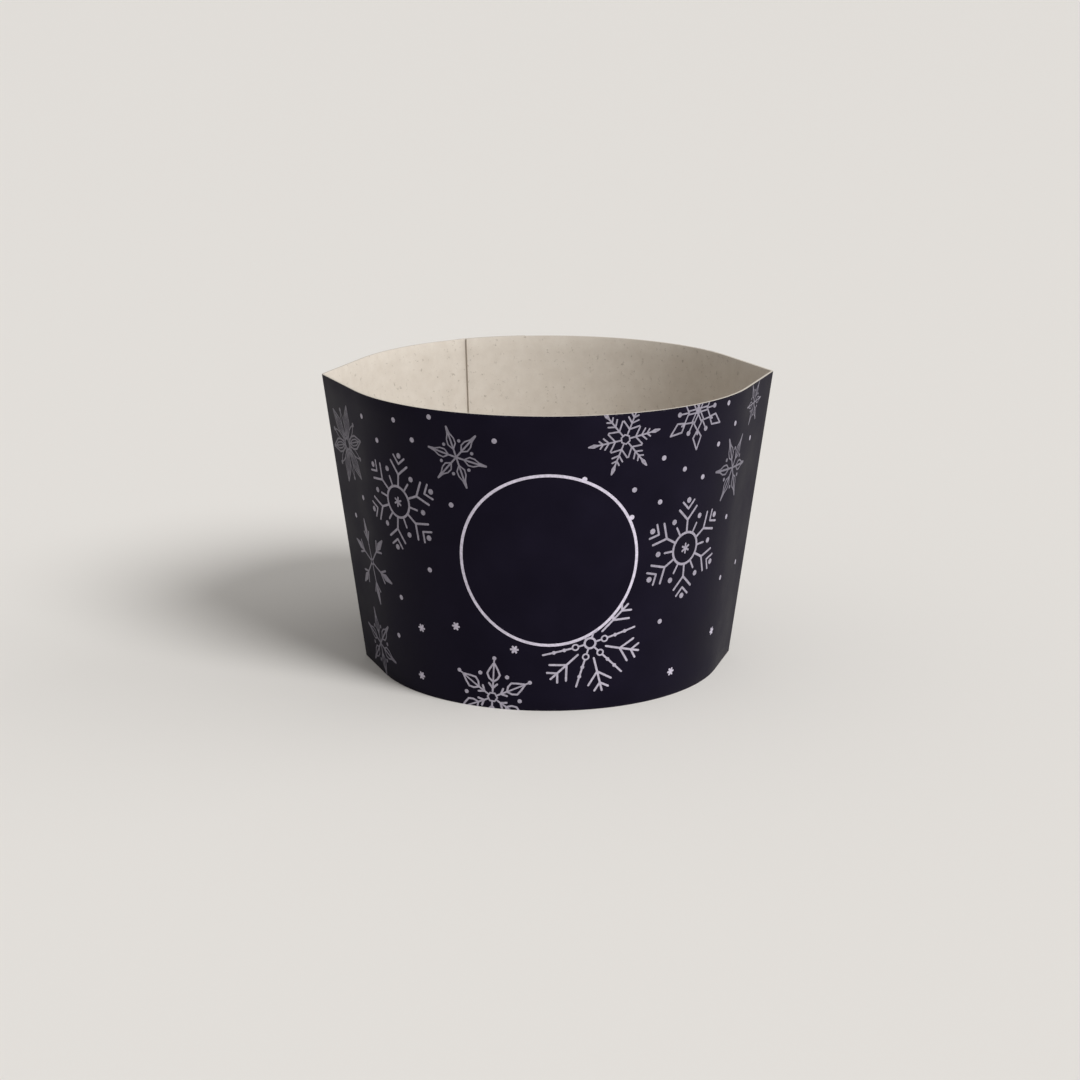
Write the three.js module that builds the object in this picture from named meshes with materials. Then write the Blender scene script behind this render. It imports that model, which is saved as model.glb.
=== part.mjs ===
// Cup sleeve: a printed board band that slips up a tapered drink cup to keep hands off its wall.
// The real thing is one blank, an arc-shaped strip of board. It is folded along two creases and
// closed by a glued lap, so it is one solid here as well.
//
// Millimetres, +Z up. The lower edge stands on Z = 0 and the Z axis is the middle of the cup.
// The creases are at -X and +X, the front panel faces -Y and the glued lap is on the back, at +Y.
//
// In plan the band is a belt. It lies round the cup at the front and back, leaves it in flat
// stretches at both sides, and turns in a small round at each crease. The plan grows from the
// lower edge to the upper edge, and every line between the two edges is straight, as on a blank
// that was bent and never stretched.

import * as THREE from 'three';

// Driving dimensions
const sleeveHeight = 58; // upright height of the band
const boardThickness = 0.5; // one layer of sleeve board
const hugRadiusBottom = 34.8; // outside radius where the lower edge lies round the cup
const hugRadiusTop = 40.8; // the same at the upper edge
const creaseReachBottom = 2.1; // how far a crease stands out past that radius, lower edge
const creaseReachTop = 3.6; // the same at the upper edge
const creaseInsideRadius = 0.7; // inside of the fold in the board
const lapWidth = 12; // glued overlap of the two ends, along the lower edge
const lapFromMiddle = 9; // from the middle of the back to the middle of the lap, towards -X
const lapRunOut = 4; // length in which the outer layer comes back down past the inner end

// How finely the rounds are divided
const hugFacetDegrees = 2; // turn of one facet where the band lies round the cup
const creaseFacetDegrees = 7; // turn of one facet round a crease

const sleeveColour = 0x1b1a26; // navy-black print on the outside
const sleeveRoughness = 0.42; // silk coating

const creaseOutsideRadius = creaseInsideRadius + boardThickness;

// Plan of the band at a height. The flat stretches touch both rounds, so all four leave them at
// one angle from the X axis.
function planAt(height) {
  const share = height / sleeveHeight;
  const hugRadius = THREE.MathUtils.lerp(hugRadiusBottom, hugRadiusTop, share);
  const creaseReach = THREE.MathUtils.lerp(creaseReachBottom, creaseReachTop, share);
  const creaseCentre = hugRadius + creaseReach - creaseOutsideRadius;
  const leaveAngle = Math.acos((hugRadius - creaseOutsideRadius) / creaseCentre);
  return { height, hugRadius, creaseCentre, leaveAngle };
}

const lowerPlan = planAt(0);
const upperPlan = planAt(sleeveHeight);

// The four rounds of the belt, in order round the cup. A round has the X place of its centre, its
// outside radius, and the angles where it begins and ends.
const rounds = {
  rightCrease: (plan) => ({
    centreX: plan.creaseCentre,
    radius: creaseOutsideRadius,
    from: -plan.leaveAngle,
    to: plan.leaveAngle,
  }),
  back: (plan) => ({
    centreX: 0,
    radius: plan.hugRadius,
    from: plan.leaveAngle,
    to: Math.PI - plan.leaveAngle,
  }),
  leftCrease: (plan) => ({
    centreX: -plan.creaseCentre,
    radius: creaseOutsideRadius,
    from: Math.PI - plan.leaveAngle,
    to: Math.PI + plan.leaveAngle,
  }),
  front: (plan) => ({
    centreX: 0,
    radius: plan.hugRadius,
    from: Math.PI + plan.leaveAngle,
    to: 2 * Math.PI - plan.leaveAngle,
  }),
};

function turnOf(name) {
  const round = rounds[name](lowerPlan);
  return round.to - round.from;
}

// A station is a place along a round, as a share of it, with the lift of one skin of the board
// from the plain outside of the band.
function plainStations(name, facetDegrees, lift, fromShare = 0, toShare = 1) {
  const turn = turnOf(name) * (toShare - fromShare);
  const count = Math.max(1, Math.ceil(THREE.MathUtils.radToDeg(turn) / facetDegrees));
  const stations = [];
  for (let i = 0; i <= count; i += 1) {
    const share = THREE.MathUtils.lerp(fromShare, toShare, i / count);
    stations.push({ name, share, lift });
  }
  return stations;
}

// The lap, as shares of the back round. One end of the blank stops at outerEnd, outside, and the
// other at innerEnd, inside. Past innerEnd the outer layer bends down on to the cup.
const backLength = hugRadiusBottom * turnOf('back');
const outerEnd = 0.5 + (lapFromMiddle - lapWidth / 2) / backLength;
const innerEnd = outerEnd + lapWidth / backLength;
const runOutEnd = innerEnd + lapRunOut / backLength;

// Outside of the back: plain up to the end of the outer layer, then one board higher as far as
// the end of the inner layer, and down again.
function backOutside() {
  return [
    ...plainStations('back', hugFacetDegrees, 0, 0, outerEnd),
    ...plainStations('back', hugFacetDegrees, boardThickness, outerEnd, innerEnd),
    ...plainStations('back', hugFacetDegrees, 0, runOutEnd, 1),
  ];
}

// Inside of the back: the inner layer stops short in one step, and the outer layer beyond it comes
// down to the cup.
function backInside() {
  return [
    ...plainStations('back', hugFacetDegrees, -boardThickness, 0, innerEnd),
    { name: 'back', share: innerEnd, lift: 0 },
    ...plainStations('back', hugFacetDegrees, -boardThickness, runOutEnd, 1),
  ];
}

function loopStations(backStations, lift) {
  return [
    ...plainStations('rightCrease', creaseFacetDegrees, lift),
    ...backStations,
    ...plainStations('leftCrease', creaseFacetDegrees, lift),
    ...plainStations('front', hugFacetDegrees, lift),
  ];
}

const outsideStations = loopStations(backOutside(), 0);
const insideStations = loopStations(backInside(), -boardThickness);

function pointInPlan(station, plan) {
  const round = rounds[station.name](plan);
  const angle = THREE.MathUtils.lerp(round.from, round.to, station.share);
  const radius = round.radius + station.lift;
  return new THREE.Vector2(
    round.centreX + radius * Math.cos(angle),
    radius * Math.sin(angle),
  );
}

function outline(stations, plan) {
  return stations.map((station) => pointInPlan(station, plan));
}

// A wall joins the same loop of stations at both edges of the band. It faces away from the axis,
// or towards it where turned is true.
function addWall(triangles, lowerStart, upperStart, count, turned) {
  for (let i = 0; i < count; i += 1) {
    const next = (i + 1) % count;
    const a = lowerStart + i;
    const b = lowerStart + next;
    const c = upperStart + next;
    const d = upperStart + i;
    if (turned) {
      triangles.push([a, c, b], [a, d, c]);
    } else {
      triangles.push([a, b, c], [a, c, d]);
    }
  }
}

// A cut edge of the board: the thin ring between the outside and the inside loop. It faces up, or
// down where turned is true.
function addCutEdge(triangles, outside, inside, outsideStart, insideStart, turned) {
  const faces = THREE.ShapeUtils.triangulateShape(outside, [inside]);
  const vertexOf = (i) => (i < outside.length ? outsideStart + i : insideStart + i - outside.length);
  for (const [i, j, k] of faces) {
    const [a, b, c] = [vertexOf(i), vertexOf(j), vertexOf(k)];
    triangles.push(turned ? [a, c, b] : [a, b, c]);
  }
}

function bandGeometry() {
  const positions = [];
  const starts = [];
  for (const stations of [outsideStations, insideStations]) {
    for (const plan of [lowerPlan, upperPlan]) {
      starts.push(positions.length / 3);
      for (const point of outline(stations, plan)) {
        positions.push(point.x, point.y, plan.height);
      }
    }
  }
  const [outsideLower, outsideUpper, insideLower, insideUpper] = starts;

  const triangles = [];
  addWall(triangles, outsideLower, outsideUpper, outsideStations.length, false);
  addWall(triangles, insideLower, insideUpper, insideStations.length, true);
  const lowerLoops = [outline(outsideStations, lowerPlan), outline(insideStations, lowerPlan)];
  addCutEdge(triangles, ...lowerLoops, outsideLower, insideLower, true);
  const upperLoops = [outline(outsideStations, upperPlan), outline(insideStations, upperPlan)];
  addCutEdge(triangles, ...upperLoops, outsideUpper, insideUpper, false);

  const geometry = new THREE.BufferGeometry();
  geometry.setAttribute('position', new THREE.Float32BufferAttribute(positions, 3));
  geometry.setIndex(triangles.flat());
  geometry.computeVertexNormals();
  return geometry;
}

const sleeveMaterial = new THREE.MeshStandardMaterial({
  color: sleeveColour,
  roughness: sleeveRoughness,
  metalness: 0,
});

const sleeve = new THREE.Mesh(bandGeometry(), sleeveMaterial);
sleeve.name = 'cup_sleeve';

const model = new THREE.Group();
model.add(sleeve);

export default model;
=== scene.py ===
# %% [markdown]
# A cup sleeve, printed, folded and glued.
#
# A cup sleeve is a tapered band of thin board that keeps the fingers off a hot or cold wall. In the
# factory the sheet is printed and coated, a die stamps out the blank and presses two creases into
# it, and a machine folds the blank and glues its two ends together.
# It could be modelled as a bent tube with a picture on it. Here it is made in the factory's order
# instead: the flat board first, then the drawing on it, and then one function bends them both, so
# that the ink lies on the board wherever the board goes.
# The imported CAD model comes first. It is the frame that says where the sleeve is and how big.

# %% Load the frame
import math
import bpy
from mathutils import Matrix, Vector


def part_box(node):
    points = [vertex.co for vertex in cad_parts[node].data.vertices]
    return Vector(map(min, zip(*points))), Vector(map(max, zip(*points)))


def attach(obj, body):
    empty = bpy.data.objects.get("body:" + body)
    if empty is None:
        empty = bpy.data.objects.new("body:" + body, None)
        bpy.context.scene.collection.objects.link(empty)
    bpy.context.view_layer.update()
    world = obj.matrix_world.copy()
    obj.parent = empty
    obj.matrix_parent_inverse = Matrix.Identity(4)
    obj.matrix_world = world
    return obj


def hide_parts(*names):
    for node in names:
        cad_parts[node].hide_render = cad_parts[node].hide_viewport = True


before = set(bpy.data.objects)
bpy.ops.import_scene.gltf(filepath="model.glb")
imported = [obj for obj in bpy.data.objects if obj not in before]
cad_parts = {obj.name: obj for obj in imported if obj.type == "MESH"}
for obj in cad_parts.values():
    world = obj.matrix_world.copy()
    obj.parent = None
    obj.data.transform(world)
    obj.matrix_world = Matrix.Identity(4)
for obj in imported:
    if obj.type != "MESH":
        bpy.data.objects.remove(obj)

from types import SimpleNamespace

import bmesh
import bpy
from mathutils import Matrix, Vector
from mathutils.bvhtree import BVHTree
from mathutils.geometry import delaunay_2d_cdt

for leftover_name in ("Cube", "Light", "Camera"):
    leftover = bpy.data.objects.get(leftover_name)
    if leftover:
        bpy.data.objects.remove(leftover)

metres_per_mm = 0.001
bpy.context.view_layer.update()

# %% [markdown]
# The shape of the sleeve in plan.
#
# Seen from above the sleeve is a belt. At the front and the back it hugs a cone, at both sides it
# leaves the cone in flat stretches, and it turns in a small round at each crease. The belt could be
# traced from the CAD mesh, but the same few named sizes as in the CAD source give it exactly, at
# the lower and at the upper edge.
# A place round the belt is counted in quarter turns: 0 is the middle of the front, 1 the right
# crease, 2 the middle of the back and 3, or -1, the left crease. The line from the lower to the
# upper edge at one place is straight, as every line of a sheet that was bent and never stretched.

# %% Sizes of the sleeve in millimetres
sleeve_low, sleeve_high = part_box("cup_sleeve")
sleeve_height = (sleeve_high.z - sleeve_low.z) / metres_per_mm
board_thickness = 0.5
crease_radius = 1.2
lower_hug_radius = 34.8
upper_hug_radius = 40.8
lower_crease_reach = 2.1
upper_crease_reach = 3.6
print("Height of the sleeve in mm:", round(sleeve_height, 2))


# %% The belt at either edge
def plan_of(hug_radius, crease_reach):
    """One quarter of the belt at an edge, with the length of each of its stretches."""
    crease_centre = hug_radius + crease_reach - crease_radius
    turn = math.asin((hug_radius - crease_radius) / crease_centre)
    hug_length = hug_radius * turn
    flat_length = crease_centre * math.cos(turn)
    fold_length = crease_radius * (math.pi / 2 - turn)
    quarter = hug_length + flat_length + fold_length
    return SimpleNamespace(
        radius=hug_radius,
        crease_centre=crease_centre,
        turn=turn,
        hug_length=hug_length,
        flat_length=flat_length,
        fold_length=fold_length,
        quarter=quarter,
    )


lower_plan = plan_of(lower_hug_radius, lower_crease_reach)
upper_plan = plan_of(upper_hug_radius, upper_crease_reach)
print("Quarter of the belt in mm:", round(lower_plan.quarter, 2), round(upper_plan.quarter, 2))

# %% A place on the belt
quarter_turns = 4
left_crease = -1
right_crease = 1


def point_in_plan(plan, place, lift):
    """Where a place on the belt is, in plan. Lift is the height over the printed outside."""
    turned = place % quarter_turns
    quarter = int(turned) % quarter_turns
    share = turned % 1
    if quarter % 2:
        share = 1 - share
    from_middle = share * plan.quarter
    into_fold = from_middle - plan.hug_length - plan.flat_length
    if into_fold > 0:
        angle = plan.turn + into_fold / crease_radius
        radius = crease_radius + lift
        centre = plan.crease_centre
        flat = 0
    else:
        angle = min(from_middle / plan.radius, plan.turn)
        radius = plan.radius + lift
        centre = 0
        flat = max(from_middle - plan.hug_length, 0)
    sideways = centre + radius * math.sin(angle) + flat * math.cos(angle)
    forwards = radius * math.cos(angle) - flat * math.sin(angle)
    on_right = quarter < 2
    on_front = quarter in (0, 3)
    return Vector((sideways if on_right else -sideways, -forwards if on_front else forwards))


lower_corner = point_in_plan(lower_plan, right_crease, 0)
print("The right crease is out at", round(lower_corner.x, 2), "mm on the lower edge")

# %% [markdown]
# The blank, and how it folds.
#
# Cut out and laid flat, the sleeve is a piece of a ring, because the upper edge is longer than the
# lower one. Drawings are made on that flat blank in real millimetres, as a printer would.
# For cutting and bending it helps to straighten the blank into a strip first: along the strip goes
# the place round the belt, and up it the height on the board. Everything that is bent goes through
# fold(). A bend modifier could roll a tube, but it knows nothing of creases, or of the glued lap,
# where fold() lifts the outer layer over the inner one.

# %% The flat blank
slant = math.hypot(sleeve_height, upper_hug_radius - lower_hug_radius)
ring_radius = lower_plan.quarter * slant / (upper_plan.quarter - lower_plan.quarter)
quarter_angle = lower_plan.quarter / ring_radius
strip_quarter = (lower_plan.quarter + upper_plan.quarter) / 2
print("Blank: inner arc radius", round(ring_radius, 1), "mm, slant height", round(slant, 2), "mm")

# %% The glued lap
lap_edge = 3.0
lap_width = 12.0
lap_run_out = 4.0
glue_thickness = 0.02


def lap_line(distance):
    """Places of a line across the back, so far from its middle, at the lower and upper edge."""
    spread = upper_plan.hug_length / lower_plan.hug_length
    return distance / lower_plan.quarter, distance * spread / upper_plan.quarter


free_end = lap_line(lap_edge)
inner_end = lap_line(lap_edge + lap_width)
lap_end = lap_line(lap_edge + lap_width + lap_run_out)

# The middle of the back comes twice on the strip: near its outer end and near its inner end.
outer_back = -2
inner_back = 2


def between(pair, share):
    return pair[0] + (pair[1] - pair[0]) * share


def lap_lift(place, share):
    """How far the outer layer stands off, from the free end to where it is down again."""
    if place > left_crease:
        return 0
    from_back = place - outer_back
    starts_down = between(inner_end, share)
    is_down = between(lap_end, share)
    down = min(max((from_back - starts_down) / (is_down - starts_down), 0), 1)
    eased = down * down * (3 - 2 * down)
    return (board_thickness + glue_thickness) * (1 - eased)


print("The lap stands off", round(lap_lift(outer_back, 0), 2), "mm")


# %% From the flat blank to the folded sleeve
def to_strip(point, panel):
    """A point drawn on the flat blank, on the strip. Panel is the place of the drawing's zero."""
    distance = math.hypot(point.x, ring_radius + point.y)
    place = math.atan2(point.x, ring_radius + point.y) / quarter_angle + panel
    return Vector((place * strip_quarter, distance - ring_radius, point.z))


def fold(point):
    """A point of the strip in millimetres, on the folded and glued sleeve in metres."""
    place = point.x / strip_quarter
    share = point.y / slant
    lift = point.z + lap_lift(place, share)
    lower = point_in_plan(lower_plan, place, lift)
    upper = point_in_plan(upper_plan, place, lift)
    spot = lower.lerp(upper, share)
    folded = Vector((spot.x, spot.y, share * sleeve_height)) * metres_per_mm
    return folded + Vector((0, 0, sleeve_low.z))


# %% [markdown]
# The board.
#
# The real board is half a millimetre thick, stiff along its creases and springy between them. It
# could be the CAD mesh with a bevel, but the ink has to bend in the same columns as the board, and
# the facets of the CAD mesh are its own. So a grid is cut into columns like the strip, narrow where
# the board turns sharply. It gets its thickness and softened cut edges while it is still flat,
# where both are simple, and is bent last.
# The two ends overlap on the back with the thickness of the glue between them.

# %% Columns of the board
column_width = 1.5
fold_columns = 8
lap_columns = 8
run_out_columns = 5
board_rows = 18

fold_share = upper_plan.fold_length / upper_plan.quarter


def spread_columns(start, end, count):
    """Columns from start up to, but without, end. Each is a place at either edge."""
    pairs = []
    for step in range(count):
        share = step / count
        pairs.append((between((start[0], end[0]), share), between((start[1], end[1]), share)))
    return pairs


def panel_columns(start, end):
    widest = (end[0] - start[0]) * lower_plan.quarter
    return spread_columns(start, end, math.ceil(widest / column_width))


def shifted(pair, places):
    return pair[0] + places, pair[1] + places


def beside(crease, side):
    """Where the fold at a crease begins, with side -1, or ends, with side 1."""
    place = crease + side * fold_share
    return place, place


strip_start = shifted(free_end, outer_back)
layer_steps_down = shifted(inner_end, outer_back)
layer_is_down = shifted(lap_end, outer_back)
strip_end = shifted(inner_end, inner_back)

board_columns = []
board_columns += spread_columns(strip_start, layer_steps_down, lap_columns)
board_columns += spread_columns(layer_steps_down, layer_is_down, run_out_columns)
board_columns += panel_columns(layer_is_down, beside(left_crease, -1))
board_columns += spread_columns(beside(left_crease, -1), beside(left_crease, 1), fold_columns)
board_columns += panel_columns(beside(left_crease, 1), beside(right_crease, -1))
board_columns += spread_columns(beside(right_crease, -1), beside(right_crease, 1), fold_columns)
board_columns += panel_columns(beside(right_crease, 1), strip_end)
board_columns.append(strip_end)
print("Columns of the board:", len(board_columns))


# %% [markdown]
# A helper for meshes.
#
# Every piece ends in the same way: its mesh goes into an object that sits at the origin, unturned,
# and later rides on the sleeve's one body. The normals are turned outwards, and edges without two
# faces are counted, because a closed piece has none. Broad faces are shaded smooth, and edges
# sharper than 30 degrees stay crisp.

# %% Turn a bmesh into a piece
smooth_angle = math.radians(30)


def make_piece(name, shape, materials):
    bmesh.ops.recalc_face_normals(shape, faces=shape.faces[:])
    open_edges = [edge for edge in shape.edges if len(edge.link_faces) != 2]
    for face in shape.faces:
        face.smooth = True
    mesh = bpy.data.meshes.new(name)
    shape.to_mesh(mesh)
    shape.free()
    for material in materials:
        mesh.materials.append(material)
    mesh.set_sharp_from_angle(angle=smooth_angle)
    piece = bpy.data.objects.new(name, mesh)
    bpy.context.scene.collection.objects.link(piece)
    triangles = sum(len(polygon.vertices) - 2 for polygon in mesh.polygons)
    print(name, "has", triangles, "triangles and", len(open_edges), "open edges")
    return piece


# %% [markdown]
# Colours and nodes.
#
# Colours are written as a painter reads them, in sRGB, and turned linear by one function. Patterns
# read Object coordinates, which are metres here, so a pattern's scale is worked out from its real
# size in millimetres. Nodes could be wired one by one, but one function that adds a node and fills
# its sockets keeps each material short enough to read.

# %% Colours and scales
def linear(hex_colour):
    """An sRGB hex colour as the linear red, green, blue and alpha that the shaders take."""
    channels = []
    for start in (0, 2, 4):
        value = int(hex_colour[start:start + 2], 16) / 255
        channels.append(value / 12.92 if value <= 0.04045 else ((value + 0.055) / 1.055) ** 2.4)
    return (*channels, 1)


def scale_for(size_mm):
    """Scale of a noise whose features are about this big."""
    return 1 / (size_mm * metres_per_mm)


# %% Nodes
def add_node(tree, kind, inputs, **settings):
    """Adds a node, sets it up, and fills each input with a value or links it to a socket."""
    made = tree.nodes.new(kind)
    for name, value in settings.items():
        setattr(made, name, value)
    for socket, value in inputs.items():
        if isinstance(value, bpy.types.NodeSocket):
            tree.links.new(value, made.inputs[socket])
        else:
            made.inputs[socket].default_value = value
    return made


def new_material(name):
    material = bpy.data.materials.new(name)
    material.use_nodes = True
    material.node_tree.nodes.clear()
    return material, material.node_tree


# The colour sockets of a Mix node share their names with others, so they go by number.
mix_factor = 0
mix_first = 6
mix_second = 7
mix_result = 2

# %% [markdown]
# The printed outside: a full flood of navy-black ink under a silk dispersion coating.
#
# To the eye it is nearly black with a violet cast, a little cloudy where the ink lies thicker, with
# a soft broad sheen instead of a mirror image. Where the board was creased the coating cracks in
# short pale lines, and at the die-cut edges a few specks of ink are missing. An image could hold all
# that, but it would blur from near by, and noises of real sizes stay sharp. The wear follows the
# strip, so it reads the piece's own UV map, which holds the strip's millimetres.

# %% Flood of navy ink
strip_map = "strip_mm"

silk_print, tree = new_material("silk_coated_navy_print")
place = add_node(tree, "ShaderNodeTexCoord", {})
strip = add_node(tree, "ShaderNodeUVMap", {}, uv_map=strip_map)
cloud = add_node(tree, "ShaderNodeTexNoise", {
    "Vector": place.outputs["Object"], "Scale": scale_for(9), "Detail": 3.0, "Roughness": 0.5})
flood = add_node(tree, "ShaderNodeMix", {
    mix_factor: cloud.outputs["Fac"], mix_first: linear("0e0c17"), mix_second: linear("1a1725")},
    data_type="RGBA")
# Board fibres are finer than this. They are drawn half a millimetre wide, so that they show.
fibres = add_node(tree, "ShaderNodeTexNoise", {
    "Vector": place.outputs["Object"], "Scale": scale_for(0.5), "Detail": 2.0, "Roughness": 0.6})

# %% Wear on the creases and the cut edges
# Millimetres from the crease or the cut edge, and then how much of the wear shows.
crease_fully_worn = 0.05
crease_wear_reach = 0.5
edge_wear_reach = 0.35
wear_strength = 0.28

axes = add_node(tree, "ShaderNodeSeparateXYZ", {"Vector": strip.outputs["UV"]})
along = add_node(tree, "ShaderNodeMath", {0: axes.outputs["X"]}, operation="ABSOLUTE")
to_crease = add_node(tree, "ShaderNodeMath", {
    0: along.outputs[0], 1: strip_quarter}, operation="SUBTRACT")
from_crease = add_node(tree, "ShaderNodeMath", {0: to_crease.outputs[0]}, operation="ABSOLUTE")
near_crease = add_node(tree, "ShaderNodeMapRange", {
    "Value": from_crease.outputs[0], "From Min": crease_fully_worn, "From Max": crease_wear_reach,
    "To Min": 1.0, "To Max": 0.0})
from_top = add_node(tree, "ShaderNodeMath", {
    0: slant, 1: axes.outputs["Y"]}, operation="SUBTRACT")
from_edge = add_node(tree, "ShaderNodeMath", {
    0: from_top.outputs[0], 1: axes.outputs["Y"]}, operation="MINIMUM")
near_edge = add_node(tree, "ShaderNodeMapRange", {
    "Value": from_edge.outputs[0], "From Min": 0.0, "From Max": edge_wear_reach,
    "To Min": 1.0, "To Max": 0.0})
worn_place = add_node(tree, "ShaderNodeMath", {
    0: near_crease.outputs["Result"], 1: near_edge.outputs["Result"]}, operation="MAXIMUM")
cracks = add_node(tree, "ShaderNodeTexNoise", {
    "Vector": place.outputs["Object"], "Scale": scale_for(0.6), "Detail": 4.0, "Roughness": 0.7})
cracked = add_node(tree, "ShaderNodeMapRange", {
    "Value": cracks.outputs["Fac"], "From Min": 0.52, "From Max": 0.66})
worn = add_node(tree, "ShaderNodeMath", {
    0: worn_place.outputs[0], 1: cracked.outputs["Result"]}, operation="MULTIPLY")
worn_part = add_node(tree, "ShaderNodeMath", {
    0: worn.outputs[0], 1: wear_strength}, operation="MULTIPLY")
print_colour = add_node(tree, "ShaderNodeMix", {
    mix_factor: worn_part.outputs[0], mix_first: flood.outputs[mix_result],
    mix_second: linear("8d8895")}, data_type="RGBA")

# %% Sheen of the coating
gloss = add_node(tree, "ShaderNodeMapRange", {
    "Value": cloud.outputs["Fac"], "From Min": 0.3, "From Max": 0.7, "To Min": 0.44, "To Max": 0.54})
bump = add_node(tree, "ShaderNodeBump", {
    "Height": fibres.outputs["Fac"], "Strength": 0.12, "Distance": 0.00002})
# The index of a coating is about 1.5. It is lowered here, and its sheen tinted, because the real
# print shows only a faint violet sheen.
surface = add_node(tree, "ShaderNodeBsdfPrincipled", {
    "Base Color": print_colour.outputs[mix_result], "Roughness": gloss.outputs["Result"],
    "IOR": 1.13, "Specular Tint": linear("e6d2f0"), "Normal": bump.outputs["Normal"]})
add_node(tree, "ShaderNodeOutputMaterial", {"Surface": surface.outputs["BSDF"]})
print(silk_print.name, "has", len(tree.nodes), "nodes")

# %% [markdown]
# The inside: recycled board, left uncoated.
#
# It looks warm grey and chalky. The pulp is mottled over a few millimetres, and darker flecks of
# old print, near a millimetre wide, went through the pulper with it. A picture of board would
# repeat, so one noise at each of those sizes gives them, on a surface with hardly any gloss.

# %% Uncoated grey board
grey_board, tree = new_material("uncoated_grey_board")
place = add_node(tree, "ShaderNodeTexCoord", {})
pulp = add_node(tree, "ShaderNodeTexNoise", {
    "Vector": place.outputs["Object"], "Scale": scale_for(3), "Detail": 5.0, "Roughness": 0.65})
body = add_node(tree, "ShaderNodeMix", {
    mix_factor: pulp.outputs["Fac"], mix_first: linear("c3b9ad"), mix_second: linear("dad3c9")},
    data_type="RGBA")
flecks = add_node(tree, "ShaderNodeTexNoise", {
    "Vector": place.outputs["Object"], "Scale": scale_for(0.9), "Detail": 3.0, "Roughness": 0.7})
fleck_mask = add_node(tree, "ShaderNodeMapRange", {
    "Value": flecks.outputs["Fac"], "From Min": 0.62, "From Max": 0.72, "To Max": 0.55})
flecked = add_node(tree, "ShaderNodeMix", {
    mix_factor: fleck_mask.outputs["Result"], mix_first: body.outputs[mix_result],
    mix_second: linear("83776a")}, data_type="RGBA")
bump = add_node(tree, "ShaderNodeBump", {
    "Height": flecks.outputs["Fac"], "Strength": 0.35, "Distance": 0.00005})
surface = add_node(tree, "ShaderNodeBsdfPrincipled", {
    "Base Color": flecked.outputs[mix_result], "Roughness": 0.88, "IOR": 1.45,
    "Normal": bump.outputs["Normal"]})
add_node(tree, "ShaderNodeOutputMaterial", {"Surface": surface.outputs["BSDF"]})
print(grey_board.name, "has", len(tree.nodes), "nodes")

# %% [markdown]
# The die-cut edge: bare board, cut through.
#
# The blade leaves a thin pale line all round the sleeve, slightly furry, because it shows the
# fibres end on. The fur could be real hairs, but at half a millimetre it is enough that the colour
# and a strong bump change along the line. The fibres are drawn 0.4 mm wide, so that they show.

# %% Raw cut edge
cut_edge, tree = new_material("die_cut_board_edge")
place = add_node(tree, "ShaderNodeTexCoord", {})
fur = add_node(tree, "ShaderNodeTexNoise", {
    "Vector": place.outputs["Object"], "Scale": scale_for(0.4), "Detail": 4.0, "Roughness": 0.7})
edge_colour = add_node(tree, "ShaderNodeMix", {
    mix_factor: fur.outputs["Fac"], mix_first: linear("b3a99d"), mix_second: linear("e2dcd2")},
    data_type="RGBA")
bump = add_node(tree, "ShaderNodeBump", {
    "Height": fur.outputs["Fac"], "Strength": 0.5, "Distance": 0.00004})
surface = add_node(tree, "ShaderNodeBsdfPrincipled", {
    "Base Color": edge_colour.outputs[mix_result], "Roughness": 0.92, "IOR": 1.45,
    "Normal": bump.outputs["Normal"]})
add_node(tree, "ShaderNodeOutputMaterial", {"Surface": surface.outputs["BSDF"]})
print(cut_edge.name, "has", len(tree.nodes), "nodes")

# %% [markdown]
# The pale ink: a lilac silver, printed over the dark flood.
#
# It reads as a soft lilac white with no mirror shine. A pale ink never hides a dark ground quite.
# The ring is printed full and bright, most flakes are thinner, and some are only a grey haze on
# the ground. A material for each would repeat itself, so there is one, and each drawing carries its
# own strength of ink in an attribute. Fine specks of the ground show through all of it.

# %% Lilac silver ink
strength_layer = "ink_strength"

lilac_ink, tree = new_material("lilac_silver_ink")
place = add_node(tree, "ShaderNodeTexCoord", {})
strength = add_node(tree, "ShaderNodeAttribute", {}, attribute_name=strength_layer)
inked = add_node(tree, "ShaderNodeMix", {
    mix_factor: strength.outputs["Fac"], mix_first: linear("3a3843"),
    mix_second: linear("dad3e4")}, data_type="RGBA")
cover = add_node(tree, "ShaderNodeTexNoise", {
    "Vector": place.outputs["Object"], "Scale": scale_for(0.6), "Detail": 3.0, "Roughness": 0.65})
specks = add_node(tree, "ShaderNodeMapRange", {
    "Value": cover.outputs["Fac"], "From Min": 0.42, "From Max": 0.6, "To Min": 0.22, "To Max": 0.0})
speckled = add_node(tree, "ShaderNodeMix", {
    mix_factor: specks.outputs["Result"], mix_first: inked.outputs[mix_result],
    mix_second: linear("2a2833")}, data_type="RGBA")
bump = add_node(tree, "ShaderNodeBump", {
    "Height": cover.outputs["Fac"], "Strength": 0.1, "Distance": 0.00001})
surface = add_node(tree, "ShaderNodeBsdfPrincipled", {
    "Base Color": speckled.outputs[mix_result], "Roughness": 0.5, "IOR": 1.3,
    "Normal": bump.outputs["Normal"]})
add_node(tree, "ShaderNodeOutputMaterial", {"Surface": surface.outputs["BSDF"]})
print(lilac_ink.name, "has", len(tree.nodes), "nodes")

# %% [markdown]
# Cut, thicken and bend the board.
#
# One grid operator makes the flat sheet. Its columns are moved to their places, the sheet is
# extruded to its thickness, and the sharp edges of the cut get a small bevel. Each face then takes
# the finish of its side, and the UV map is written before the strip is bent.

# %% Cut the flat sheet
board = bmesh.new()
column_count = len(board_columns)
bmesh.ops.create_grid(board, x_segments=column_count - 1, y_segments=board_rows, size=1)
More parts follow.
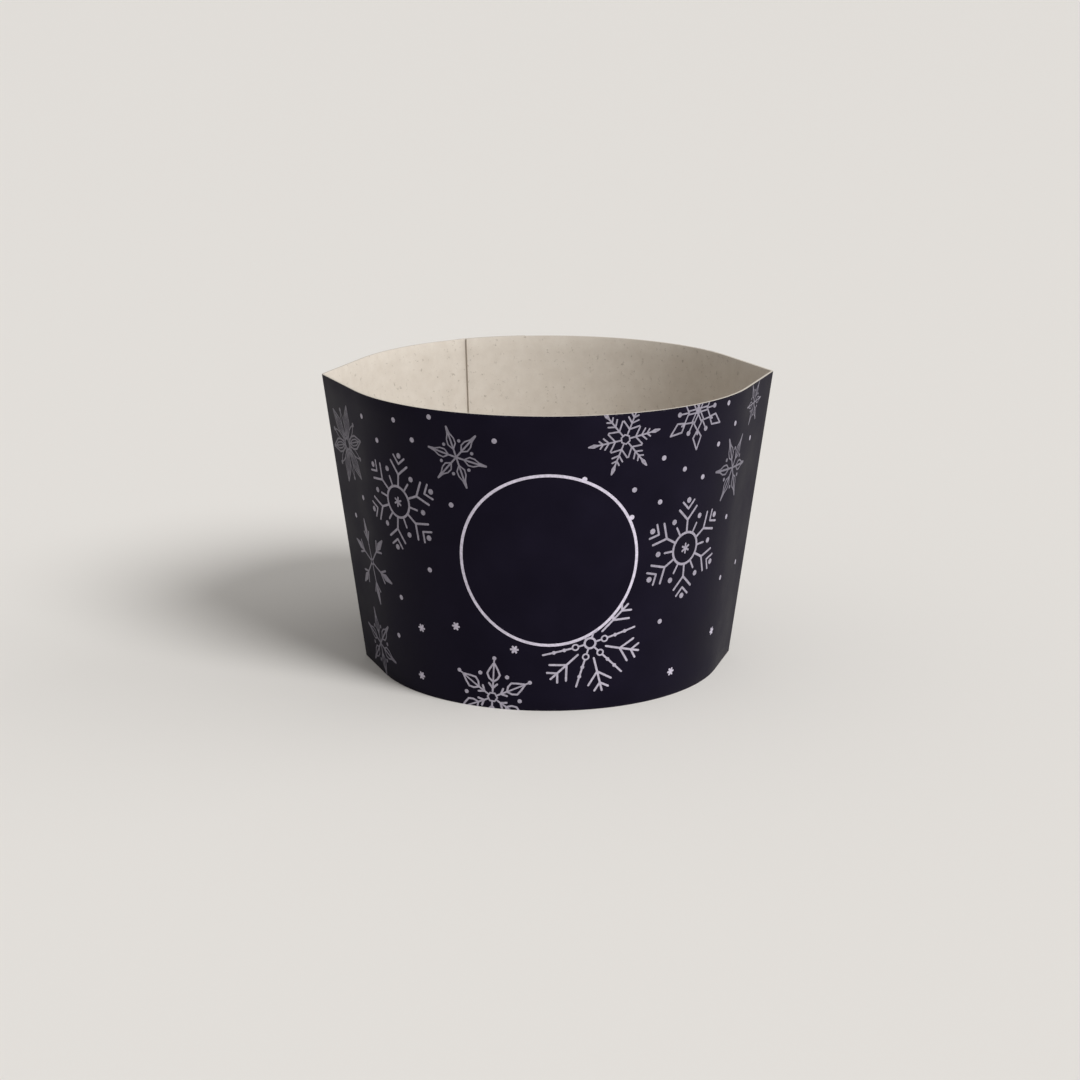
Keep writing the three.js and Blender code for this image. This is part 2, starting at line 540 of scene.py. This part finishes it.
# The grid runs from -1 to 1 both ways.
for vertex in board.verts:
    column = board_columns[round((vertex.co.x + 1) / 2 * (column_count - 1))]
    share = (vertex.co.y + 1) / 2
    vertex.co = (between(column, share) * strip_quarter, share * slant, 0)
print("The flat sheet has", len(board.faces), "faces")

# %% Give it thickness and soft edges
edge_softness = 0.06
cut_angle = math.radians(60)

skin = bmesh.ops.extrude_face_region(board, geom=board.faces[:])
skin_verts = [item for item in skin["geom"] if isinstance(item, bmesh.types.BMVert)]
bmesh.ops.translate(board, verts=skin_verts, vec=(0, 0, -board_thickness))
bmesh.ops.recalc_face_normals(board, faces=board.faces[:])

cut_lines = [edge for edge in board.edges if edge.calc_face_angle(0) > cut_angle]
bmesh.ops.bevel(
    board, geom=cut_lines, offset=edge_softness, segments=2, profile=0.5,
    affect="EDGES", material=-1)
print("Edges of the cut:", len(cut_lines))

# %% Finish its sides and bend it
outside_index = 0
inside_index = 1
edge_index = 2
mostly_flat = 0.85

uv_layer = board.loops.layers.uv.new(strip_map)
for face in board.faces:
    face.normal_update()
    facing = face.normal.z
    face.material_index = edge_index
    if facing > mostly_flat:
        face.material_index = outside_index
    if facing < -mostly_flat:
        face.material_index = inside_index
    for loop in face.loops:
        loop[uv_layer].uv = loop.vert.co.xy

for vertex in board.verts:
    vertex.co = fold(vertex.co)

sleeve_board = make_piece("sleeve_board", board, [silk_print, grey_board, cut_edge])
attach(sleeve_board, "root")
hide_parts("cup_sleeve")

# %% [markdown]
# Pens for the print.
#
# An artist would draw the flakes as curves. Here they are flat faces from the start, because the
# strokes are united as faces later. Every flake is drawn with three things: a line with round
# ends, a dot and a ring, in millimetres. Paths, barbs and leaves are made of lines. The pens are
# named from the broadest to the finest.

# %% Pen widths in millimetres
filling_pen = 0.7
ring_pen = 0.48
firm_pen = 0.44
round_pen = 0.42
plain_pen = 0.4
slim_pen = 0.36
thin_pen = 0.34
fine_pen = 0.3
hair_pen = 0.26
print("Pens from", hair_pen, "to", filling_pen, "mm")

# %% Line, dot and ring
end_sides = 8


def at(distance, degrees):
    """A point so far from the middle, at an angle from the X axis."""
    angle = math.radians(degrees)
    return Vector((distance * math.cos(angle), distance * math.sin(angle)))


def draw_dot(art, middle, radius, sides=end_sides):
    spot = Matrix.Translation((middle[0], middle[1], 0))
    bmesh.ops.create_circle(art, cap_ends=True, segments=sides, radius=radius, matrix=spot)


def draw_line(art, start, end, width=firm_pen):
    start = Vector(start)
    end = Vector(end)
    reach = end - start
    middle = (start + end) / 2
    spot = Matrix.Translation((middle.x, middle.y, 0))
    spot @= Matrix.Rotation(math.atan2(reach.y, reach.x), 4, "Z")
    spot @= Matrix.Diagonal((reach.length, width, 1, 1))
    bmesh.ops.create_grid(art, x_segments=1, y_segments=1, size=0.5, matrix=spot)
    draw_dot(art, start, width / 2)
    draw_dot(art, end, width / 2)


def draw_ring(art, middle, radius, width, sides):
    spot = Matrix.Translation((middle[0], middle[1], 0))
    rims = []
    for side in (-1, 1):
        rim = bmesh.ops.create_circle(
            art, segments=sides, radius=radius + side * width / 2, matrix=spot)
        rims += [edge for vertex in rim["verts"] for edge in vertex.link_edges]
    bmesh.ops.bridge_loops(art, edges=list(dict.fromkeys(rims)))


# %% Path, barbs and leaf
def draw_path(art, points, width):
    for start, end in zip(points, points[1:]):
        draw_line(art, start, end, width)


def draw_barbs(art, root, length, degrees, width=firm_pen, on=0):
    """A pair of strokes that leave the arm, at an angle to either side of it."""
    for side in (-1, 1):
        foot = at(root, on)
        draw_line(art, foot, foot + at(length, on + side * degrees), width)


def draw_leaf(art, points, width, on=0):
    """An outline given by one half, from the root to the tip, and mirrored on the other side."""
    along = at(1, on)
    across = at(1, on + 90)
    for side in (-1, 1):
        draw_path(art, [x * along + side * y * across for x, y in points], width)


# %% [markdown]
# The designs with plain strokes.
#
# All the designs are six-armed flakes of the kind that winter wrapping has always carried, eight of
# them and one tiny star. Sizes are millimetres on the board, and places are counted from the
# flake's middle. Six arms could be drawn one by one. A design draws one of them along the X axis
# instead, and what lies between two arms at half of the sixty degrees, and one spin makes the six.
# The middle is drawn after that.

# %% Six arms from one
arms = 6
arm_angle = 360 / arms
between_arms = arm_angle / 2


def repeat_six(art):
    arm = art.verts[:] + art.edges[:] + art.faces[:]
    bmesh.ops.spin(
        art, geom=arm, cent=(0, 0, 0), axis=(0, 0, 1), angle=math.radians(arm_angle * (arms - 1)),
        steps=arms - 1, use_duplicate=True)


# %% Flakes with plain strokes
def chevron_star(art):
    draw_line(art, (3.15, 0), (5.7, 0))
    draw_barbs(art, 5.7, 3.2, 45)
    draw_barbs(art, 7.9, 2.1, 45, plain_pen)
    draw_dot(art, (9.6, 0), 0.58)
    draw_line(art, at(3.15, between_arms), at(5.2, between_arms), plain_pen)
    draw_dot(art, at(6.7, between_arms), 0.56)
    draw_line(art, (0, 0), (0.9, 0), plain_pen)
    repeat_six(art)
    draw_ring(art, (0, 0), 3.15, ring_pen, sides=36)


def feather_star(art):
    draw_ring(art, (2.85, 0), 0.58, fine_pen, sides=12)
    draw_line(art, (3.5, 0), (9.1, 0), slim_pen)
    draw_dot(art, (5.0, 0), 0.38)
    draw_dot(art, (7.0, 0), 0.38)
    draw_line(art, at(3.2, between_arms), at(10.2, between_arms), plain_pen)
    draw_barbs(art, 6.1, 3.2, 45, plain_pen, between_arms)
    draw_barbs(art, 8.5, 1.9, 47, plain_pen, between_arms)
    draw_line(art, at(1.1, 0), at(2.3, 0), thin_pen)
    repeat_six(art)
    draw_ring(art, (0, 0), 1.05, round_pen, sides=16)


def fern_star(art):
    draw_line(art, (0.9, 0), (6.0, 0), fine_pen)
    draw_barbs(art, 2.0, 2.0, 56, fine_pen)
    draw_barbs(art, 3.2, 1.4, 50, fine_pen)
    draw_barbs(art, 4.3, 0.95, 48, fine_pen)
    draw_leaf(art, [(5.2, 0), (6.0, 0.24), (7.0, 0)], fine_pen)
    repeat_six(art)
    draw_ring(art, (0, 0), 0.9, fine_pen, sides=6)


def small_star(art):
    draw_line(art, (0, 0), (0.64, 0), round_pen)
    repeat_six(art)


# %% [markdown]
# The designs with outlined arms.
#
# Their arms are leaves, kites and petals, open in the middle, so that the dark ground shows inside
# the pale line. A leaf is given by the points of one half, and the same points are drawn again on
# the other side. One design has a leaf so narrow that a broad stroke fills it.

# %% Flakes with outlined arms
def leaf_star(art):
    draw_line(art, (0.9, 0), (3.4, 0), thin_pen)
    draw_barbs(art, 1.9, 1.2, 42, plain_pen)
    draw_leaf(art, [(3.2, 0), (3.9, 0.85), (4.8, 1.25), (5.8, 0.8), (7.0, 0.1)], slim_pen)
    draw_line(art, (3.4, 0), (7.9, 0), fine_pen)
    draw_dot(art, (8.1, 0), 0.42)
    draw_dot(art, at(5.3, between_arms), 0.43)
    repeat_six(art)
    draw_ring(art, (0, 0), 0.95, thin_pen, sides=6)


def spear_star(art):
    draw_line(art, (0, 0), (4.4, 0), thin_pen)
    draw_leaf(art, [(1.7, 0.1), (2.6, 0.8), (3.6, 0.75), (4.6, 0.25), (6.0, 0.05)], hair_pen)
    draw_line(art, (4.4, 0), (5.9, 0), plain_pen)
    draw_dot(art, at(3.3, between_arms), 0.34)
    repeat_six(art)


def kite_star(art):
    draw_leaf(art, [(0.7, 0), (2.4, 1.0), (3.9, 0)], fine_pen)
    draw_leaf(art, [(3.9, 0.1), (5.2, 1.05), (7.6, 0)], thin_pen)
    draw_line(art, (3.9, 0), (4.6, 0))
    draw_line(art, at(2.3, between_arms), at(4.2, between_arms), fine_pen)
    draw_dot(art, at(4.6, between_arms), 0.5)
    repeat_six(art)
    draw_dot(art, (0, 0), 0.75)


def fork_star(art):
    draw_line(art, (0.5, 0), (5.2, 0), thin_pen)
    draw_line(art, (5.4, 0), (7.0, 0), filling_pen)
    draw_leaf(art, [(4.8, 0), (6.2, 0.52), (8.4, 0)], plain_pen)
    draw_barbs(art, 4.1, 2.3, 37, round_pen)
    repeat_six(art)
    draw_ring(art, (0, 0), 0.6, hair_pen, sides=12)


def flower_star(art):
    draw_leaf(art, [(1.3, 0.2), (3.2, 1.2), (5.2, 1.3), (8.2, 0.05)], thin_pen)
    draw_leaf(art, [(2.0, 0.1), (3.6, 0.6), (5.4, 0.6), (7.0, 0.05)], hair_pen)
    draw_line(art, (1.2, 0), (7.6, 0), hair_pen)
    draw_leaf(art, [(1.6, 0.1), (3.4, 0.7), (5.2, 0.5), (6.4, 0.05)], hair_pen, between_arms)
    draw_dot(art, at(6.7, between_arms), 0.45)
    repeat_six(art)
    draw_ring(art, (0, 0), 1.1, round_pen, sides=18)


# %% [markdown]
# Ink that lies in one layer.
#
# The strokes of a flake cross each other. If each were a solid of its own, two skins would lie in
# the same place and flicker. No mesh operator melts flat overlapping faces into one, so a
# triangulator does: it cuts all outlines against each other, and a ray straight down through each
# small triangle says whether a stroke covers it. What lies inside the ring, and what falls off the
# blank, goes at the same time. The board's columns are cut in too, so the ink bends where the
# board does.

# %% What lies on the blank
straight_down = Vector((0, 0, -1))

# The inner layer's print shows as far as here, where the free end of the outer layer covers it.
seam = shifted(free_end, inner_back)


def strip_x(pair, height):
    return between(pair, height / slant) * strip_quarter


def lies_on(shapes, point):
    return shapes.ray_cast(Vector((point.x, point.y, 1)), straight_down)[0] is not None


def on_blank(point):
    start = strip_x(strip_start, point.y)
    end = strip_x(seam, point.y)
    return 0 < point.y < slant and start < point.x < end


print("The strip is printed over", round(strip_x(seam, 0) - strip_x(strip_start, 0)), "mm")

# %% The window that a drawing is cut in
window_margin = 1.0


def window_round(points):
    """Left, right, bottom and top of the stretch of strip that a drawing needs."""
    left = min(point.x for point in points) - window_margin
    right = max(point.x for point in points) + window_margin
    bottom = max(min(point.y for point in points) - window_margin, 0)
    top = min(max(point.y for point in points) + window_margin, slant)
    return left, right, bottom, top


def window_corners(left, right, bottom, top):
    """The corners of the window, drawn in where the blank ends inside it."""
    return [
        Vector((max(left, strip_x(strip_start, bottom)), bottom)),
        Vector((min(right, strip_x(seam, bottom)), bottom)),
        Vector((min(right, strip_x(seam, top)), top)),
        Vector((max(left, strip_x(strip_start, top)), top)),
    ]


def add_outline(points, faces, outline):
    faces.append(list(range(len(points), len(points) + len(outline))))
    points.extend(outline)


def add_columns(points, left, right, bottom, top):
    """Adds the board's columns to the points, and gives back the edges they are."""
    edges = []
    for column in board_columns:
        foot = Vector((strip_x(column, bottom), bottom))
        head = Vector((strip_x(column, top), top))
        if left < foot.x < right:
            edges.append((len(points), len(points) + 1))
            points.extend([foot, head])
    return edges


# %% Lay a drawing on the strip
all_triangles = 0
merge_distance = 0.0001


def new_film():
    film = bmesh.new()
    film.verts.layers.float.new(strength_layer)
    return film


def lay_ink(film, art, panel, strength, bare=None):
    """Unites a drawing's strokes, trims them and adds them to a film that is still flat."""
    for vertex in art.verts:
        vertex.co = to_strip(vertex.co, panel)
    art.verts.index_update()
    strokes = BVHTree.FromBMesh(art)
    points = [vertex.co.xy for vertex in art.verts]
    faces = [[vertex.index for vertex in face.verts] for face in art.faces]
    art.free()

    window = window_round(points)
    add_outline(points, faces, window_corners(*window))
    hidden = None
    if bare:
        rim = list(range(len(bare)))
        hidden = BVHTree.FromPolygons([point.to_3d() for point in bare], [rim])
        add_outline(points, faces, bare)
    edges = add_columns(points, *window)

    flat_points, _, triangles, _, _, _ = delaunay_2d_cdt(
        points, edges, faces, all_triangles, merge_distance, False)
    inked = film.verts.layers.float[strength_layer]
    added = {}
    for corner_ids in triangles:
        middle = sum((flat_points[corner_id] for corner_id in corner_ids), Vector((0, 0))) / 3
        if not on_blank(middle) or not lies_on(strokes, middle):
            continue
        if hidden and lies_on(hidden, middle):
            continue
        for corner_id in corner_ids:
            if corner_id not in added:
                added[corner_id] = film.verts.new((*flat_points[corner_id], 0))
                added[corner_id][inked] = strength
        film.faces.new([added[corner_id] for corner_id in corner_ids])


# %% Make a film a piece of the sleeve
ink_over_board = 0.02
ink_thickness = 0.04


def make_film(name, film):
    """Gives a flat film of ink its thickness, bends it and makes it a piece of the sleeve."""
    bmesh.ops.translate(film, verts=film.verts[:], vec=(0, 0, ink_over_board))
    back = bmesh.ops.extrude_face_region(film, geom=film.faces[:])
    back_verts = [item for item in back["geom"] if isinstance(item, bmesh.types.BMVert)]
    bmesh.ops.translate(film, verts=back_verts, vec=(0, 0, -ink_thickness))
    for vertex in film.verts:
        vertex.co = fold(vertex.co)
    piece = make_piece(name, film, [lilac_ink])
    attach(piece, "root")


# %% [markdown]
# The ring on the front.
#
# A ring of one even line stands a little left of the middle of the front panel. The ground inside
# it is bare, so its middle line is kept, to trim the flakes that reach inside it. Two of the
# scattered dots touch its line. As films of their own they would lie in the ring's ink, so they
# are drawn with it.

# %% Print the ring
front = 0
ring_middle = Vector((-1.3, 30.3, 0))
ring_line_radius = 16.75
ring_line_width = 0.56
ring_sides = 120
full_strength = 1.0
dot_radius = 0.5
touching_dots = [(5.1, 46.2), (14.3, 37.9)]

ring_film = new_film()
ring_art = bmesh.new()
draw_ring(ring_art, ring_middle, ring_line_radius, ring_line_width, ring_sides)
for touching_dot in touching_dots:
    draw_dot(ring_art, touching_dot, dot_radius)
lay_ink(ring_film, ring_art, front, full_strength)
make_film("print_ring", ring_film)

bare_disc = []
for step in range(ring_sides):
    rim_point = ring_middle.xy + at(ring_line_radius, 360 * step / ring_sides)
    bare_disc.append(to_strip(rim_point.to_3d(), front).xy)


# %% [markdown]
# The flakes on the front.
#
# Twelve flakes are strewn round the ring. Those near an edge are cut off by it, as the blank was
# cut from a larger sheet. They could be scattered at random, but a printed sheet has one fixed
# layout, so each has its line in a table: the design, where its middle lies on the flat blank in
# millimetres, its turn in degrees, its size and the strength of its ink.

# %% Print the flakes on the front
front_flakes = [
    (chevron_star, 26.8, 29.1, 27, 1.0, 0.48),
    # The chevron on the left has a little less ink than the same flake on the right. That difference
    # is painted shade: the left flank lies away from the key light.
    (chevron_star, -32.9, 37.3, 26, 0.98, 0.42),
    (feather_star, 6.5, 13.65, 13.5, 1.0, 0.72),
    (leaf_star, -12.0, 2.1, 27, 1.0, 0.62),
    (spear_star, -18.8, 49.2, -10, 1.0, 0.3),
    (spear_star, 41.8, 40.9, -10, 1.15, 0.2),
    (spear_star, -43.5, 3.5, -10, 1.2, 0.2),
    (fern_star, 12.7, 53.2, 8, 1.0, 0.46),
    (kite_star, 28.7, 56.0, 29, 1.0, 0.4),
    (flower_star, -53.3, 42.3, 23, 1.0, 0.15),
    (fork_star, -44.5, 20.8, -10, 1.0, 0.27),
    (spear_star, 52.4, 50.6, -5, 0.75, 0.22),
]


def print_flakes(name, flakes, panel_of, bare=None):
    film = new_film()
    for design, x, y, turn, size, strength in flakes:
        art = bmesh.new()
        design(art)
        spot = Matrix.Translation((x, y, 0)) @ Matrix.Rotation(math.radians(turn), 4, "Z")
        spot @= Matrix.Scale(size, 4)
        bmesh.ops.transform(art, matrix=spot, verts=art.verts[:])
        lay_ink(film, art, panel_of(x), strength, bare)
    make_film(name, film)


def on_front(_):
    return front


print_flakes("print_flakes_front", front_flakes, on_front, bare_disc)

# %% [markdown]
# The snow between them.
#
# Small round dots fill the ground, with a few tiny six-pointed stars among them. They have one size
# each and keep clear of the flakes. Like the flakes they have fixed places, given on the flat
# blank.

# %% Print the dots on the front
dot_sides = 14
dot_strength = 0.55
star_strength = 0.8
front_dots = [
    (-44.3, 51.1), (-33.3, 53.5), (-24.5, 56.0), (-38.7, 48.0), (-28.6, 50.7), (-11.4, 53.2),
    (-46.7, 33.5), (-52.0, 27.7), (-20.0, 39.7), (-25.1, 25.6), (-33.2, 17.5), (-34.7, 8.9),
    (14.7, 43.2), (20.2, 39.9), (20.8, 48.4), (25.8, 45.2), (30.8, 42.4), (35.3, 47.7),
    (38.1, 55.1), (41.5, 50.0), (52.0, 43.4), (40.7, 31.1), (50.8, 17.3), (40.2, 18.4),
    (21.0, 15.6),
]
front_stars = [
    (-27.6, 12.9), (-19.4, 15.4), (-28.0, 2.7), (-7.7, 12.4), (24.2, 4.2), (37.8, 7.9),
]


def print_snow(name, dots, stars, panel_of):
    film = new_film()
    for middle in dots:
        art = bmesh.new()
        draw_dot(art, middle, dot_radius, dot_sides)
        lay_ink(film, art, panel_of(middle[0]), dot_strength)
    for middle in stars:
        art = bmesh.new()
        small_star(art)
        bmesh.ops.translate(art, verts=art.verts[:], vec=(*middle, 0))
        lay_ink(film, art, panel_of(middle[0]), star_strength)
    make_film(name, film)


print_snow("print_snow_front", front_dots, front_stars, on_front)

# %% [markdown]
# The back.
#
# The same print runs on over the back, with no ring. The lap's free edge cuts through it: what lies
# to its right, seen from behind, is printed on the outer layer at one end of the blank, and what
# lies to its left on the other end. The places are counted from the middle of the back, towards
# the right as it is seen from behind.

# %% Print the back
back_flakes = [
    (chevron_star, -27.0, 17.5, 12, 1.0, 0.52),
    (chevron_star, 33.5, 40.2, 22, 0.98, 0.48),
    (feather_star, -12.6, 43.8, 4, 1.0, 0.72),
    (leaf_star, 15.4, 50.2, 10, 1.0, 0.62),
    (leaf_star, -37.0, 57.2, 27, 1.0, 0.55),
    (spear_star, 22.0, 28.4, 5, 1.1, 0.36),
    (spear_star, -45.8, 33.0, -10, 1.1, 0.25),
    (fern_star, 40.6, 9.6, 8, 1.0, 0.5),
    (fern_star, -30.4, 37.8, 20, 1.0, 0.52),
    (kite_star, 14.8, 6.2, 12, 1.0, 0.5),
    (flower_star, -7.6, 20.4, 15, 0.95, 0.35),
    (fork_star, -16.0, 1.6, -10, 1.0, 0.45),
]
back_dots = [
    (-50.2, 48.6), (-44.8, 45.2), (-24.6, 51.4), (-25.8, 28.2), (-40.4, 21.8), (-43.0, 9.4),
    (-37.2, 4.8), (-28.2, 4.4), (-17.6, 30.6), (-16.4, 14.6), (-3.8, 8.4), (-2.6, 33.6),
    (-3.4, 54.6), (10.2, 37.8), (12.4, 17.4), (20.6, 40.2), (26.4, 52.6), (27.6, 17.6),
    (25.2, 3.4), (32.6, 24.2), (38.4, 27.8), (41.8, 21.0), (46.4, 30.6), (45.6, 52.4),
    (49.8, 44.6),
]
back_stars = [
    (-21.4, 56.2), (-49.0, 20.4), (1.0, 44.8), (30.8, 10.2), (12.6, 26.6), (50.6, 18.6),
]


def on_back(x):
    on_outer_layer = x > lap_edge
    return outer_back if on_outer_layer else inner_back


print_flakes("print_flakes_back", back_flakes, on_back)
print_snow("print_snow_back", back_dots, back_stars, on_back)

# %% [markdown]
# The floor.
#
# A plain pale floor that runs out past the picture. A curved sweep could hide its far edge, but the
# backdrop has the floor's own brightness, so a flat one does. Seen from below it is clear, so that
# the under side of the sleeve can be looked at.

# %% Floor
floor_reach = 15

floor_shape = bmesh.new()
bmesh.ops.create_grid(floor_shape, x_segments=1, y_segments=1, size=floor_reach)
floor_mesh = bpy.data.meshes.new("floor")
floor_shape.to_mesh(floor_mesh)
floor_shape.free()
floor = bpy.data.objects.new("floor", floor_mesh)
bpy.context.scene.collection.objects.link(floor)

floor_paint, tree = new_material("pale_matt_floor")
sides = add_node(tree, "ShaderNodeNewGeometry", {})
matt = add_node(tree, "ShaderNodeBsdfPrincipled", {
    "Base Color": linear("e9e6e2"), "Roughness": 0.9, "IOR": 1.3})
clear = add_node(tree, "ShaderNodeBsdfTransparent", {})
either = add_node(tree, "ShaderNodeMixShader", {
    0: sides.outputs["Backfacing"], 1: matt.outputs["BSDF"], 2: clear.outputs["BSDF"]})
add_node(tree, "ShaderNodeOutputMaterial", {"Surface": either.outputs["Shader"]})
floor_mesh.materials.append(floor_paint)
print("The floor reaches", floor_reach, "m each way")

# %% [markdown]
# The light.
#
# A pale room gives even light. A large soft key light stands to the right in front and lays the
# shadow to the left. A weaker light further round on the right is there for the coating: a silk
# surface shows little colour of its own, and only a broad light at a low angle brings out its sheen.
# Both could be area lamps. A wide sun was chosen, because it lights the floor evenly and leaves no
# bright patch on it from any side.

# %% The room and the backdrop
room_strength = 0.42
backdrop_strength = 0.86

world = bpy.data.worlds.new("pale_room")
bpy.context.scene.world = world
world.use_nodes = True
tree = world.node_tree
tree.nodes.clear()
camera_ray = add_node(tree, "ShaderNodeLightPath", {})
room = add_node(tree, "ShaderNodeBackground", {
    "Color": linear("f4f2ef"), "Strength": room_strength})
backdrop = add_node(tree, "ShaderNodeBackground", {
    "Color": linear("f1eeea"), "Strength": backdrop_strength})
seen = add_node(tree, "ShaderNodeMixShader", {
    0: camera_ray.outputs["Is Camera Ray"], 1: room.outputs[0], 2: backdrop.outputs[0]})
add_node(tree, "ShaderNodeOutputWorld", {"Surface": seen.outputs["Shader"]})
print(world.name, "has", len(tree.nodes), "nodes")


# %% Two soft suns
def add_sun(name, strength, width, spot):
    """A sun that shines from a spot to the middle. The width in degrees softens its shadow."""
    light = bpy.data.lights.new(name, "SUN")
    light.energy = strength
    light.angle = math.radians(width)
    lamp = bpy.data.objects.new(name, light)
    bpy.context.scene.collection.objects.link(lamp)
    lamp.location = spot
    lamp.rotation_euler = (-Vector(spot)).to_track_quat("-Z", "Y").to_euler()
    print("The", name, "sun has strength", strength, "and is", width, "degrees wide")


add_sun("key", 2.3, 25, (0.6, -0.6, 0.7))
add_sun("side", 0.9, 60, (0.9, 0.05, 0.3))

# %% [markdown]
# The camera.
#
# It looks slightly down on the sleeve from in front, with a moderately long lens, which keeps the
# ring round and the sides from bulging. A wide lens from near by would stretch both.

# %% Camera
camera_pitch = 15.52
camera_turn = 2.0

camera_data = bpy.data.cameras.new("camera")
camera_data.lens = 72.93
camera_data.sensor_width = 36
camera_data.clip_start = 0.01
camera_data.clip_end = 60
camera = bpy.data.objects.new("camera", camera_data)
bpy.context.scene.collection.objects.link(camera)
camera.location = (-0.0164, -0.4229, 0.1413)
camera.rotation_euler = (math.radians(90 - camera_pitch), 0, -math.radians(camera_turn))
bpy.context.scene.camera = camera
bpy.context.scene.view_settings.view_transform = "Standard"
print("The camera stands", round(camera.location.length, 2), "m away")
